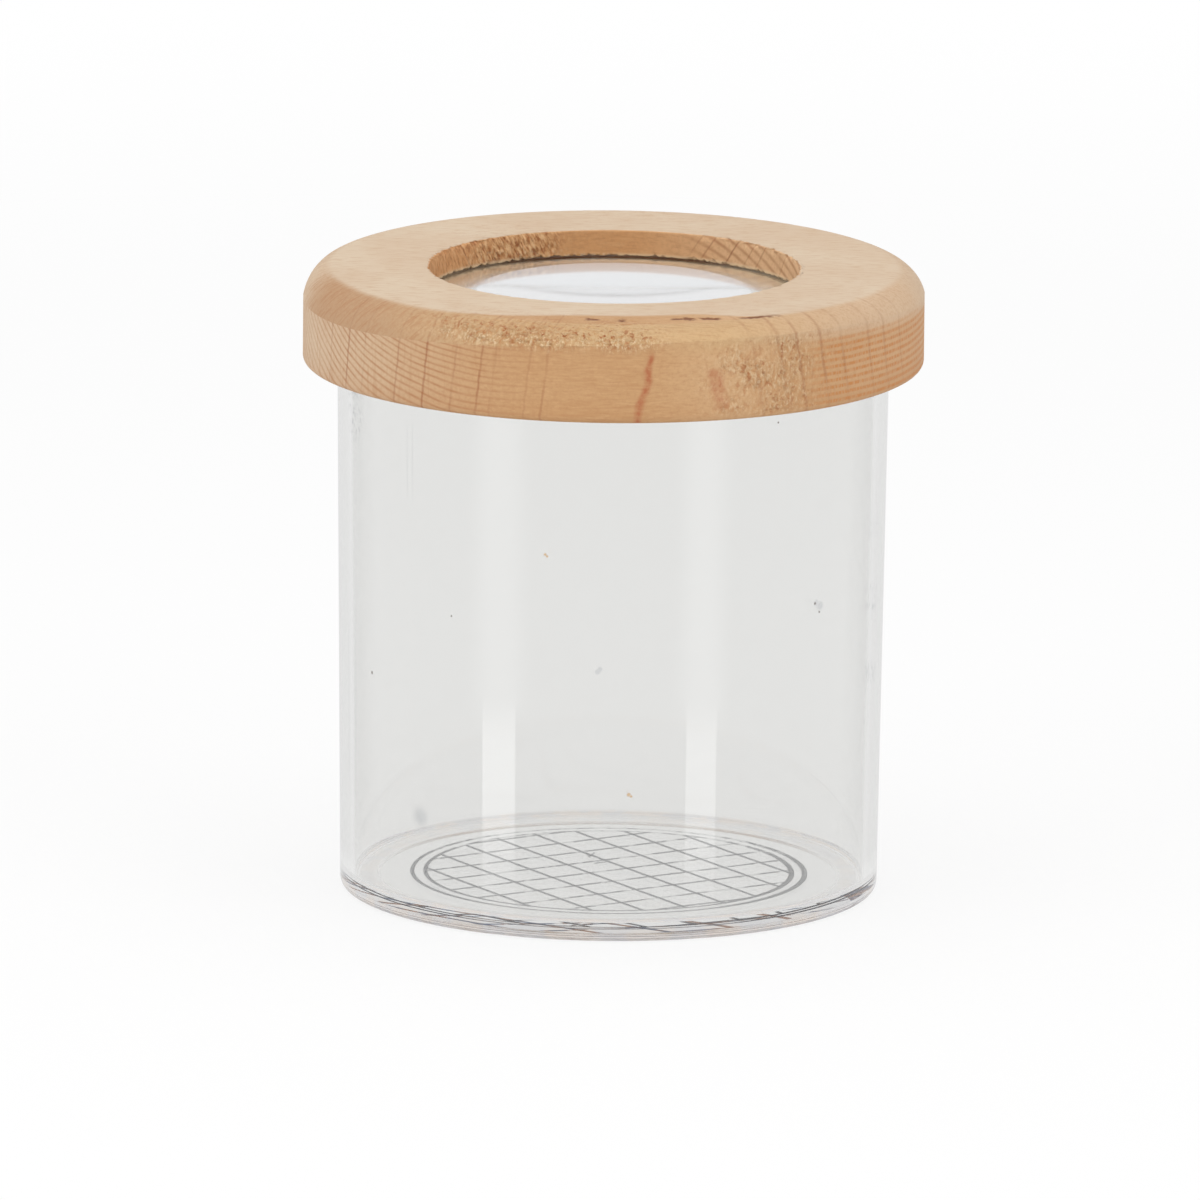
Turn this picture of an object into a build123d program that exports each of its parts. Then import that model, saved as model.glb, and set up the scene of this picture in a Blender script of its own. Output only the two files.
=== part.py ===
from build123d import *

import os
from math import sqrt

# Bug catcher jar, in millimetres. The jar stands on Z = 0 with its axis on Z.
# X and Y run along the measuring grid under its floor.

# Jar: one clear moulding, a little wider at the rim than at the foot so that it leaves the mould
jar_height = 66.0
jar_rim_diameter = 63.2
jar_foot_diameter = 61.5
jar_wall = 1.6
jar_floor = 1.5
foot_height = 0.5
foot_width = 4.4
foot_edge_radius = 1.0
floor_corner_radius = 0.8
rim_edge_radius = 0.4

# Measuring grid: raised lines under the floor, inside two ring lines
grid_pitch = 5.0
grid_line_width = 0.45
inner_ring_diameter = 42.0
outer_ring_diameter = 45.0
ring_line_width = 0.5
grid_line_height = 0.2

# Lens: a clear magnifier with a wide low dome above, a narrower dome below and a flat flange to hold it by
lens_diameter = 48.4
lens_flange_thickness = 1.8
lens_upper_flange_width = 3.4
lens_lower_flange_width = 8.7
lens_top_radius = 145.0
lens_bottom_radius = 76.0

# Lid ring: turned beech, with a viewing hole over the lens and a socket for the jar's rim
lid_skirt_thickness = 3.6
lid_overlap = 4.8
lid_lip_thickness = 3.0
lid_lip_width = 3.25
lid_edge_run = 3.5
lid_edge_drop = 2.6
lid_bottom_edge_radius = 0.8
socket_mouth_chamfer = 0.5

# Retaining ring: turned beech, pressed into the lens seat, with a hole that the lower dome looks out of
retaining_ring_thickness = 1.3
retaining_ring_chamfer = 0.4

# Clearances: the lid slips over the rim, the lens has a little play in its seat and the ring clears its dome
lid_clearance = 0.3
lens_side_clearance = 0.2
lens_play = 0.2
lens_dome_clearance = 1.5

# Radii that follow from the sizes above
jar_rim_radius = jar_rim_diameter / 2
jar_foot_radius = jar_foot_diameter / 2
foot_inner_radius = jar_foot_radius - foot_width
grid_radius = inner_ring_diameter / 2
lens_radius = lens_diameter / 2
upper_dome_edge = lens_radius - lens_upper_flange_width
lower_dome_edge = lens_radius - lens_lower_flange_width
retaining_ring_hole_radius = lower_dome_edge + lens_dome_clearance
lens_seat_radius = lens_radius + lens_side_clearance
window_radius = lens_seat_radius - lid_lip_width
socket_radius = jar_rim_radius + lid_clearance
lid_radius = socket_radius + lid_skirt_thickness

# Along X one grid line runs through the middle, and along Y the middle lies between two lines
lines_along_x = 2 * int(grid_radius / grid_pitch) + 1
lines_along_y = 2 * int(grid_radius / grid_pitch + 1 / 2)

# Heights that follow from the sizes above: the lid's shoulder rests on the rim
floor_top = foot_height + jar_floor
shoulder_height = jar_height
lid_bottom = shoulder_height - lid_overlap
flange_bottom = shoulder_height + retaining_ring_thickness
flange_top = flange_bottom + lens_flange_thickness
lip_bottom = flange_top + lens_play
lid_top = lip_bottom + lid_lip_thickness


def dome_height(sphere_radius, edge_radius):
    """How far a spherical dome of the lens stands off its flange."""
    return sphere_radius - sqrt(sphere_radius**2 - edge_radius**2)


def jar_outside(height):
    """The jar's outside radius at a height, on the straight line from foot to rim."""
    return jar_foot_radius + (jar_rim_radius - jar_foot_radius) * height / jar_height


# Jar
with BuildPart() as jar:
    with BuildSketch(Plane.XZ):
        with BuildLine():
            Polyline(
                (0, foot_height),
                (foot_inner_radius, foot_height),
                (foot_inner_radius, 0),
                (jar_outside(0), 0),
                (jar_outside(jar_height), jar_height),
                (jar_outside(jar_height) - jar_wall, jar_height),
                (jar_outside(floor_top) - jar_wall, floor_top),
                (0, floor_top),
                close=True,
            )
        make_face()
    revolve(axis=Axis.Z)
    circles = jar.edges().filter_by(GeomType.CIRCLE)
    foot_edge = circles.group_by(Axis.Z)[0].sort_by(SortBy.RADIUS)[-1]
    rim_edges = circles.group_by(Axis.Z)[-1]
    floor_corner = circles.filter_by_position(Axis.Z, floor_top, floor_top)
    fillet(foot_edge, foot_edge_radius)
    fillet(rim_edges, rim_edge_radius)
    fillet(floor_corner, floor_corner_radius)

    # The ring lines and the grid stand below the floor, and the foot ring keeps them off the table
    with BuildSketch(Plane.XY.offset(foot_height)):
        Circle(outer_ring_diameter / 2 + ring_line_width / 2)
        Circle(outer_ring_diameter / 2 - ring_line_width / 2, mode=Mode.SUBTRACT)
        Circle(grid_radius + ring_line_width / 2)
        Circle(grid_radius - ring_line_width / 2, mode=Mode.SUBTRACT)
    extrude(amount=-grid_line_height)
    with BuildSketch(Plane.XY.offset(foot_height)):
        with GridLocations(grid_pitch, grid_pitch, 1, lines_along_x):
            Rectangle(inner_ring_diameter, grid_line_width)
        with GridLocations(grid_pitch, grid_pitch, lines_along_y, 1):
            Rectangle(grid_line_width, inner_ring_diameter)
        Circle(grid_radius, mode=Mode.INTERSECT)
    extrude(amount=-grid_line_height)

# Lid ring
with BuildPart() as lid_ring:
    with BuildSketch(Plane.XZ):
        with BuildLine():
            over_edge = TangentArc(
                (lid_radius - lid_edge_run, lid_top),
                (lid_radius, lid_top - lid_edge_drop),
                tangent=(1, 0),
            )
            Polyline(
                over_edge @ 1,
                (lid_radius, lid_bottom),
                (socket_radius, lid_bottom),
                (socket_radius, shoulder_height),
                (lens_seat_radius, shoulder_height),
                (lens_seat_radius, lip_bottom),
                (window_radius, lip_bottom),
                (window_radius, lid_top),
                over_edge @ 0,
            )
        make_face()
    revolve(axis=Axis.Z)
    bottom_edges = lid_ring.edges().filter_by(GeomType.CIRCLE).group_by(Axis.Z)[0].sort_by(SortBy.RADIUS)
    chamfer(bottom_edges[0], socket_mouth_chamfer)
    fillet(bottom_edges[-1], lid_bottom_edge_radius)

# Lens
with BuildPart() as lens:
    with BuildSketch(Plane.XZ):
        with BuildLine():
            lens_axis = Line(
                (0, flange_bottom - dome_height(lens_bottom_radius, lower_dome_edge)),
                (0, flange_top + dome_height(lens_top_radius, upper_dome_edge)),
            )
            top_dome = TangentArc(lens_axis @ 1, (upper_dome_edge, flange_top), tangent=(1, 0))
            bottom_dome = TangentArc(lens_axis @ 0, (lower_dome_edge, flange_bottom), tangent=(1, 0))
            Polyline(
                top_dome @ 1,
                (lens_radius, flange_top),
                (lens_radius, flange_bottom),
                bottom_dome @ 1,
            )
        make_face()
    revolve(axis=Axis.Z)

# Retaining ring
with BuildPart() as lens_retaining_ring:
    with BuildSketch(Plane.XY.offset(shoulder_height)):
        Circle(lens_seat_radius)
        Circle(retaining_ring_hole_radius, mode=Mode.SUBTRACT)
    extrude(amount=retaining_ring_thickness)
    lower_edges = lens_retaining_ring.edges().filter_by(GeomType.CIRCLE).group_by(Axis.Z)[0]
    chamfer(lower_edges.sort_by(SortBy.RADIUS)[0], retaining_ring_chamfer)

jar.part.label = "jar"
lid_ring.part.label = "lid_ring"
lens.part.label = "lens"
lens_retaining_ring.part.label = "lens_retaining_ring"

os.makedirs("parts", exist_ok=True)
for piece in (jar, lid_ring, lens, lens_retaining_ring):
    export_step(piece.part, f"parts/{piece.part.label}.step")
    print(f"{piece.part.label}: {piece.part.volume:.0f} cubic millimetres")
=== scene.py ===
# %% [markdown]
# # A bug catcher jar
# A clear jar with a measuring grid under its floor, and a turned beech lid that holds a magnifying lens.
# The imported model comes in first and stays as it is: it says where each piece sits and what moves with what.
# Everything below is dressed over that frame, in metres, and sizes are written in millimetres times `mm`.

# %% Load the frame
import math

import bpy
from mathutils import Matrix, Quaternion, Vector


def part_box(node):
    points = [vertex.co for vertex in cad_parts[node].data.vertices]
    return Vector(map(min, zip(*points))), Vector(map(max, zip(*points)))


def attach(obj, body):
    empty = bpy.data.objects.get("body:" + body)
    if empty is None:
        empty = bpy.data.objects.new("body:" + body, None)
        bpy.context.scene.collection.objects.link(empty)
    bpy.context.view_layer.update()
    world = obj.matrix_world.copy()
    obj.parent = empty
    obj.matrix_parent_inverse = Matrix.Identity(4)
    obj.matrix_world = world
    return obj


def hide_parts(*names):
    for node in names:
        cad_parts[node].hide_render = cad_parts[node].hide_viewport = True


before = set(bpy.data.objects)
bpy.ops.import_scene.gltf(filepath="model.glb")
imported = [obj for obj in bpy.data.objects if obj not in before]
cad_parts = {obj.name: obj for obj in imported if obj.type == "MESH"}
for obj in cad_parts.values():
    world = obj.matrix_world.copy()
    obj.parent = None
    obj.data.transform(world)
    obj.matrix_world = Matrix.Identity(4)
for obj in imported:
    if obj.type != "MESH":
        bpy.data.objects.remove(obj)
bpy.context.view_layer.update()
mm = 0.001

# %% [markdown]
# ## The camera
# The picture was taken with a long lens from well away, so the jar's two sides run almost parallel.
# A camera 3.5 m off does the same. It looks a little down on the lid, and is held half a degree askew.
# The lens follows from the distance and from how much of the object's plane the picture takes in.

# %% Camera
view_azimuth = math.radians(-31.6)
view_elevation = math.radians(12.05)
view_roll = math.radians(0.55)
view_distance = 3.5
picture_width = 137.4 * mm
aim_height = 33.3 * mm
aim_aside = -1.26 * mm

to_right = Vector((math.cos(view_azimuth), math.sin(view_azimuth), 0))
to_front = Vector((math.sin(view_azimuth), -math.cos(view_azimuth), 0))
to_camera = to_front * math.cos(view_elevation) + Vector((0, 0, math.sin(view_elevation)))
aim = to_right * aim_aside + Vector((0, 0, aim_height))

camera = bpy.data.objects.new("camera", bpy.data.cameras.new("camera"))
camera.data.sensor_width = 36
camera.data.lens = camera.data.sensor_width * view_distance / picture_width
camera.data.clip_end = 3 * view_distance
camera.location = aim + to_camera * view_distance
camera.rotation_mode = "QUATERNION"
camera.rotation_quaternion = (-to_camera).to_track_quat("-Z", "Y") @ Quaternion((0, 0, 1), view_roll)
bpy.context.scene.collection.objects.link(camera)
bpy.context.scene.camera = camera
bpy.context.scene.view_settings.view_transform = "Standard"
print(f"camera: {camera.data.lens:.0f} mm lens at {view_distance} m")

# %% [markdown]
# ## Reckoning with nodes
# Shaders, the world and Geometry Nodes are all trees of nodes and links. Here a `Value` is one output of a
# node, and a sign between two values adds the Math node that works it out, so a tree reads like a formula.
# Helpers take numbers and values alike, and a value knows the tree that it belongs to.
# Colours are written as they look, from 0 to 255, and turned into the linear values that sockets expect.

# %% Values
def sign(operation, other_first=False):
    """What a sign such as + does: it adds a Math node."""
    def method(value, *other):
        return calc(operation, *other, value) if other_first else calc(operation, value, *other)
    return method


class Value:
    """One output of a node. Reckoning with it adds Math nodes to its tree."""

    __add__ = sign("ADD")
    __radd__ = sign("ADD", other_first=True)
    __sub__ = sign("SUBTRACT")
    __rsub__ = sign("SUBTRACT", other_first=True)
    __mul__ = sign("MULTIPLY")
    __truediv__ = sign("DIVIDE")
    __mod__ = sign("FLOORED_MODULO")
    __pow__ = sign("POWER")
    __gt__ = sign("GREATER_THAN")
    __lt__ = sign("LESS_THAN")
    __abs__ = sign("ABSOLUTE")

    def __init__(self, socket):
        self.socket = socket
        self.tree = socket.id_data

    def __neg__(self):
        return self * -1


print("signs ready: + - * / % ** > <")


# %% Adding nodes
def put(socket, value):
    """Gives an input a value: another node's output is linked, anything else is set."""
    if isinstance(value, Value):
        value.tree.links.new(value.socket, socket)
    else:
        socket.default_value = value


def fill(node, inputs):
    """Gives a node's inputs their values, by name or place."""
    for name, value in inputs.items():
        put(node.inputs[name], value)


def add(tree, kind, inputs=None, output=0, **settings):
    """Adds a node with its settings and its inputs, and gives one of its outputs, by name or place."""
    made = tree.nodes.new(kind)
    for name, value in settings.items():
        setattr(made, name, value)
    fill(made, inputs or {})
    return Value(made.outputs[output])


def outputs(tree, kind):
    """Adds a node that needs no inputs, and gives all its outputs by name."""
    return {socket.name: Value(socket) for socket in tree.nodes.new(kind).outputs}


print("node helpers ready")


# %% Arithmetic
def tree_of(values):
    """The tree that a mixed lot of values and numbers belongs to."""
    return next(value.tree for value in values if isinstance(value, Value))


def calc(operation, *values):
    """One step of arithmetic."""
    return add(tree_of(values), "ShaderNodeMath", dict(enumerate(values)), operation=operation)


def vector_calc(operation, *values):
    """One step of arithmetic on vectors."""
    output = "Value" if operation in ("DISTANCE", "LENGTH", "DOT_PRODUCT") else "Vector"
    return add(tree_of(values), "ShaderNodeVectorMath", dict(enumerate(values)), output, operation=operation)


def scaled(vector, factor):
    """A vector times a number."""
    return add(vector.tree, "ShaderNodeVectorMath", {0: vector, "Scale": factor}, operation="SCALE")


def split(vector):
    """The three parts of a vector."""
    made = vector.tree.nodes.new("ShaderNodeSeparateXYZ")
    put(made.inputs[0], vector)
    return [Value(socket) for socket in made.outputs]


def combine(x=0.0, y=0.0, z=0.0):
    """A vector from its three parts."""
    return add(tree_of((x, y, z)), "ShaderNodeCombineXYZ", {"X": x, "Y": y, "Z": z})


print("arithmetic ready, for numbers and for vectors")


# %% Masks and noise
def step(value, low, high, at_low=0.0, at_high=1.0, how="SMOOTHSTEP"):
    """Goes from at_low to at_high while the value goes from low to high, by default softly at both ends."""
    return add(value.tree, "ShaderNodeMapRange", {
        "Value": value, "From Min": low, "From Max": high, "To Min": at_low, "To Max": at_high},
        interpolation_type=how)


def straight(value, low, high, at_low, at_high):
    """Goes evenly from at_low to at_high while the value goes from low to high."""
    return step(value, low, high, at_low, at_high, how="LINEAR")


def fade(value, low, high):
    """Falls softly from 1 to 0 while the value goes from low to high."""
    return step(value, low, high, 1.0, 0.0)


def window(value, low, high, soft):
    """1 between low and high, falling softly to 0 outside."""
    return step(value, low - soft, low + soft) * fade(value, high - soft, high + soft)


def largest(first, second):
    """The larger of two values: for masks, either of them."""
    return calc("MAXIMUM", first, second)


def between(share, first, second):
    """Goes from the first value to the second as the share goes from 0 to 1."""
    return (1 - share) * first + share * second


def noise(vector, scale, detail=2.0, roughness=0.5):
    """Cloudy noise about 0.5."""
    return add(vector.tree, "ShaderNodeTexNoise", {
        "Vector": vector, "Scale": scale, "Detail": detail, "Roughness": roughness})


print("masks and noise ready")


# %% Colours
def colour(red, green, blue):
    """A colour as it looks, from 0 to 255, in linear values."""
    def linear(part):
        part /= 255
        return part / 12.92 if part <= 0.04045 else ((part + 0.055) / 1.055) ** 2.4
    return (linear(red), linear(green), linear(blue), 1.0)


def painted(base, *coats):
    """A base colour with coats laid over it, one after another. A coat is its share and its colour."""
    for share, coat in coats:
        base = add(share.tree, "ShaderNodeMix", {0: share, 6: base, 7: coat}, 2, data_type="RGBA")
    return base


print("middle grey in linear values:", round(colour(128, 128, 128)[0], 3))


# %% Finishes
def new_finish(name):
    """A material with a Principled shader: the material, its tree, the shader and the place on the object."""
    material = bpy.data.materials.new(name)
    material.use_nodes = True
    tree = material.node_tree
    return material, tree, tree.nodes["Principled BSDF"], add(tree, "ShaderNodeTexCoord", output="Object")


def mixed(share, first, second):
    """Mixes two shaders."""
    return add(share.tree, "ShaderNodeMixShader", {"Fac": share, 1: first, 2: second})


def stored(tree, name):
    """A number that a mesh carries for its finish."""
    return add(tree, "ShaderNodeAttribute", output="Fac", attribute_name=name)


def in_millimetres(place):
    """A place in metres, in millimetres."""
    return vector_calc("MULTIPLY", place, (1 / mm, 1 / mm, 1 / mm))


def seen_how(tree):
    """Two masks: what the camera sees, also through glass, and what it sees mirrored."""
    path = outputs(tree, "ShaderNodeLightPath")
    shown = largest(path["Is Camera Ray"], path["Is Transmission Ray"])
    return shown, path["Is Glossy Ray"] - path["Is Transmission Ray"] > 0.5


print("finish helpers ready")

# %% [markdown]
# ## World and stage
# The object stands on a plain white table under soft lamps. The world is white to the camera and through
# glass, and a little dimmer as light, because the lamps give the rest. The table is white paper: part of its
# white is its own wherever the camera sees it, also through glass, and the rest is light that falls on it,
# which keeps the shadow.
# A clear wall shows little but what it mirrors. Seen from slightly above, an upright wall mirrors the table
# in front of it, so the two pale bands on the jar are two strips of light that lie on the table there.
# Only reflections see them: each is a wedge of light that starts behind the wall, crisp near the jar.

# %% World
ambient_light = 0.55
backdrop_light = 1.0
mirrored_light = 0.9

world = bpy.data.worlds.new("studio")
world.use_nodes = True
bpy.context.scene.world = world
shown, mirrored = seen_how(world.node_tree)
added = shown * (backdrop_light - ambient_light) + mirrored * (mirrored_light - ambient_light)
fill(world.node_tree.nodes["Background"], {"Color": (1, 1, 1, 1), "Strength": ambient_light + added})
print("world: ambient", ambient_light)

# %% Strips of light
jar_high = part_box("jar")[1]
jar_rim_radius = jar_high.x
table_light = 0.8
strip_far_light = 0.8
strip_start = 58 * mm
strip_reach = 115 * mm
strip_edge = 0.07

# A strip is its turn from the camera's side, half its width, both in degrees, and its light
strips = ((-24.2, 3.8, 2.1), (19.8, 3.4, 1.75))


def toward(turn):
    """A level direction, by its turn from the camera's side in degrees."""
    return to_front * math.cos(math.radians(turn)) + to_right * math.sin(math.radians(turn))


table_finish, tree, shader, place = new_finish("white_table")
fill(shader, {"Base Color": (0.97, 0.97, 0.97, 1), "Roughness": 0.9, "Specular IOR Level": 0.0})
glow = table_light
for turn, half_width, strip_light in strips:
    outward = toward(2 * turn)
    focus = (toward(turn) - outward * math.cos(math.radians(turn)) / 2) * jar_rim_radius
    from_focus = add(tree, "ShaderNodeMapping", {
        "Vector": place, "Location": focus, "Rotation": (0, 0, math.atan2(outward.y, outward.x))},
        vector_type="TEXTURE")
    ahead, aside, _ = split(from_focus)
    angle = abs(calc("ARCTAN2", aside, ahead))
    edge = math.radians(2 * half_width)
    crisp = fade(angle, edge * (1 - strip_edge), edge * (1 + strip_edge))
    broad = fade(angle, edge * 0.3, edge * 2.2)
    near = step(ahead, strip_start * 0.5, strip_start * 1.4, 0.12, 1.0)
    far = step(ahead, strip_reach * 0.9, strip_reach * 1.15)
    glow = glow + (crisp * (near - far) * strip_light + broad * far * strip_far_light)
print("strips of light:", len(strips))

# %% Table
paper_white = 0.8
table_radius = 1.2
table_solid_to = 0.30
table_gone_at = 0.55
table_gap = 0.05 * mm

shown, mirrored = seen_how(tree)
own_white = add(tree, "ShaderNodeEmission", {"Strength": 1.0})
paper = mixed(shown * paper_white, Value(shader.outputs[0]), own_white)
lit = mixed(mirrored, paper, add(tree, "ShaderNodeEmission", {"Strength": glow}))
gone = step(vector_calc("LENGTH", place), table_solid_to, table_gone_at)
cut = mixed(gone, lit, add(tree, "ShaderNodeBsdfTransparent"))
fill(tree.nodes["Material Output"], {"Surface": cut})

corners = [(-table_radius, -table_radius), (table_radius, -table_radius),
           (table_radius, table_radius), (-table_radius, table_radius)]
table_mesh = bpy.data.meshes.new("table")
table_mesh.from_pydata([(x, y, -table_gap) for x, y in corners], [], [(0, 1, 2, 3)])
table_mesh.materials.append(table_finish)
table = bpy.data.objects.new("table", table_mesh)
bpy.context.scene.collection.objects.link(table)
print("table:", 2 * table_radius, "m across")

# %% Lamps
lamp_distance = 1.3


def lamp(name, turn, rise, size, power):
    """A square soft box, by its turn from the camera's side and its rise above the table, in degrees."""
    light = bpy.data.lights.new(name, "AREA")
    light.shape = "SQUARE"
    light.size = size
    light.energy = power
    way = toward(turn) * math.cos(math.radians(rise)) + Vector((0, 0, math.sin(math.radians(rise))))
    made = bpy.data.objects.new(name, light)
    made.location = way * lamp_distance
    made.rotation_mode = "QUATERNION"
    made.rotation_quaternion = (-way).to_track_quat("-Z", "Y")
    made.visible_camera = False
    made.visible_glossy = False
    made.visible_transmission = False
    bpy.context.scene.collection.objects.link(made)
    print(f"lamp {name}: {power} W")


lamp("overhead", turn=0, rise=85, size=1.2, power=4.6)
lamp("left_front", turn=-55, rise=30, size=0.9, power=5.2)
lamp("right_front", turn=50, rise=30, size=0.9, power=3.8)

# %% [markdown]
# ## Turning a profile
# Jar, lens, ring and lid are all bodies of revolution. A Screw modifier or a spin could make them, but a
# Geometry Nodes tree keeps the rule in one place: it lays out a grid with one row for each point of the
# profile, wraps the grid round the axis, and closes the seam and the poles by merging.
# A profile is a short list of corners, each with the radius it is rounded to.

# %% Profiles
def rounded(corners, arc_points=6, hold=0.06, longest=200.0):
    """Points (radius, height) along a profile. A corner is (radius, height, rounding), in millimetres.
    Straight runs get a point close to each end, so that a rounding doesn't bend the light beside it."""
    runs = []
    for place, (radius, height, rounding) in enumerate(corners):
        corner = Vector((radius, height))
        if not rounding:
            runs.append([corner])
            continue
        before = (Vector(corners[place - 1][:2]) - corner).normalized()
        after = (Vector(corners[place + 1][:2]) - corner).normalized()
        half = before.angle(after) / 2
        centre = corner + (before + after).normalized() * rounding / math.sin(half)
        first = (corner + before * rounding / math.tan(half) - centre).normalized()
        last = (corner + after * rounding / math.tan(half) - centre).normalized()
        runs.append([centre + first.slerp(last, share / arc_points) * rounding
                     for share in range(arc_points + 1)])
    points = list(runs[0])
    for run in runs[1:]:
        start, end = points[-1], run[0]
        length = (end - start).length
        if length > 4 * hold:
            count = max(1, math.ceil(length / longest))
            inner = [hold / length] + [share / count for share in range(1, count)] + [1 - hold / length]
            points += [start.lerp(end, share) for share in inner]
        points += run
    return [(point.x * mm, point.y * mm) for point in points]


def sphere_arc(sphere_radius, edge_radius, edge_height, up, count):
    """Corners of a dome from its axis to its edge, in millimetres. up is 1 for a dome above its edge."""
    depth = math.sqrt(sphere_radius**2 - edge_radius**2)
    across = [edge_radius * share / count for share in range(count)]
    return [(r, edge_height + up * (math.sqrt(sphere_radius**2 - r**2) - depth), 0) for r in across]


print("profile helpers ready")


# %% Node groups
def new_group(name, kind, inputs, result):
    """A node group with its inputs, {name: kind of socket}, and its result, (name, kind of socket).
    Gives the tree, its inputs as values, and the identifiers that a modifier knows them by."""
    tree = bpy.data.node_groups.new(name, kind)
    known_as = {}
    for label, socket in inputs.items():
        made = tree.interface.new_socket(label, in_out="INPUT", socket_type="NodeSocket" + socket)
        known_as[label] = made.identifier
    tree.interface.new_socket(result[0], in_out="OUTPUT", socket_type="NodeSocket" + result[1])
    return tree, outputs(tree, "NodeGroupInput"), known_as


def give_out(value):
    """Ends a node group with its result."""
    put(value.tree.nodes.new("NodeGroupOutput").inputs[0], value)
    print(value.tree.name, "has", len(value.tree.nodes), "nodes")


def dressed(geometry, finish):
    """The end of a tree: real geometry with its finish."""
    real = add(geometry.tree, "GeometryNodeRealizeInstances", {"Geometry": geometry})
    return add(geometry.tree, "GeometryNodeSetMaterial", {"Geometry": real, "Material": finish})


def store(geometry, name, value):
    """Stores a number on every point of a mesh, for its finish."""
    return add(geometry.tree, "GeometryNodeStoreNamedAttribute", {
        "Geometry": geometry, "Name": name, "Value": value}, data_type="FLOAT", domain="POINT")


def shifted(geometry, offset, where=True):
    """Moves points of a mesh."""
    return add(geometry.tree, "GeometryNodeSetPosition", {
        "Geometry": geometry, "Selection": where, "Offset": offset})


def sharpened(geometry, edges):
    """Makes edges of a smooth mesh sharp."""
    return add(geometry.tree, "GeometryNodeSetShadeSmooth", {
        "Geometry": geometry, "Shade Smooth": False, "Selection": edges}, domain="EDGE")


print("group helpers ready")

# %% Turning tree
seam_gap = 0.001 * mm
turning, given, turning_in = new_group("turned_on_axis", "GeometryNodeTree", {
    "Profile": "Geometry", "Segments": "Int", "Crease Angle": "Float", "Finish": "Material"},
    ("Turned", "Geometry"))
points = add(turning, "GeometryNodeAttributeDomainSize", {"Geometry": given["Profile"]}, "Point Count")
rows = points - 1
grid = add(turning, "GeometryNodeMeshGrid", {
    "Size X": rows, "Size Y": given["Segments"], "Vertices X": points, "Vertices Y": given["Segments"] + 1})
here = add(turning, "GeometryNodeInputPosition")
row, column, _ = split(here)
row = calc("ROUND", row + rows / 2)
turn = column / given["Segments"] * math.tau
on_profile = add(turning, "GeometryNodeSampleIndex", {
    "Geometry": given["Profile"], "Value": here, "Index": row}, "Value", data_type="FLOAT_VECTOR")
radius, _, height = split(on_profile)
wrapped = combine(radius * calc("COSINE", turn), radius * calc("SINE", turn), height)
shaped = add(turning, "GeometryNodeSetPosition", {"Geometry": grid, "Position": wrapped})
closed = add(turning, "GeometryNodeMergeByDistance", {"Geometry": shaped, "Distance": seam_gap})
smooth = add(turning, "GeometryNodeSetShadeSmooth", {"Geometry": closed, "Shade Smooth": True})
bend = add(turning, "GeometryNodeInputMeshEdgeAngle", output="Unsigned Angle")
creased = sharpened(smooth, bend > given["Crease Angle"])
give_out(dressed(creased, given["Finish"]))


# %% Turned pieces
def made_solid(name, mesh, trees):
    """Runs a mesh through node trees, each with its inputs by name, and keeps the result as a plain mesh."""
    rough = bpy.data.objects.new(name + "_rough", mesh)
    bpy.context.scene.collection.objects.link(rough)
    for tree, known_as, inputs in trees:
        modifier = rough.modifiers.new(tree.name, "NODES")
        modifier.node_group = tree
        for label, value in inputs.items():
            modifier[known_as[label]] = value
    seen = rough.evaluated_get(bpy.context.evaluated_depsgraph_get())
    solid = bpy.data.meshes.new_from_object(seen)
    solid.name = name
    bpy.data.objects.remove(rough)
    bpy.data.meshes.remove(mesh)
    made = bpy.data.objects.new(name, solid)
    bpy.context.scene.collection.objects.link(made)
    print(f"{name}: {len(solid.vertices)} vertices, {len(solid.polygons)} faces")
    return made


def turned(name, profile, segments, finish, more_trees=(), crease=30):
    """A piece turned from a profile of (radius, height) points, with edges sharp from a crease angle on."""
    line = bpy.data.meshes.new(name + "_profile")
    line.from_pydata([(radius, 0, height) for radius, height in profile],
                     [(place, place + 1) for place in range(len(profile) - 1)], [])
    inputs = {"Segments": segments, "Crease Angle": math.radians(crease), "Finish": finish}
    return made_solid(name, line, [(turning, turning_in, inputs), *more_trees])


print("ready to turn pieces")

# %% [markdown]
# ## Handled plastic
# Jar and lens are clear plastic that has been handled: faint smears, and hair-fine scratches.
# Both share one node group, with its own strength in each. It only roughens the surface, because a smear
# on clear plastic doesn't have a colour of its own: it blurs what is behind it.

# %% Handled plastic group
handled, given, _ = new_group("handled_plastic", "ShaderNodeTree", {
    "Position": "Vector", "Polish": "Float", "Smear": "Float", "Scratch": "Float"}, ("Roughness", "Float"))
smear = step(noise(given["Position"], 0.07, 4.0, 0.6), 0.52, 0.72)
drawn_out = vector_calc("MULTIPLY", given["Position"], (1.0, 1.0, 0.12))
hairline = abs(noise(drawn_out, 0.35, 3.0, 0.6) - 0.5)
scratch = fade(hairline, 0.0, 0.004) * smear
give_out(given["Polish"] + (smear * given["Smear"] + scratch * given["Scratch"]))

# %% Clear plastic
mirrorings = 3
dimmed = (0.95, 0.95, 0.948, 1.0)


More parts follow.
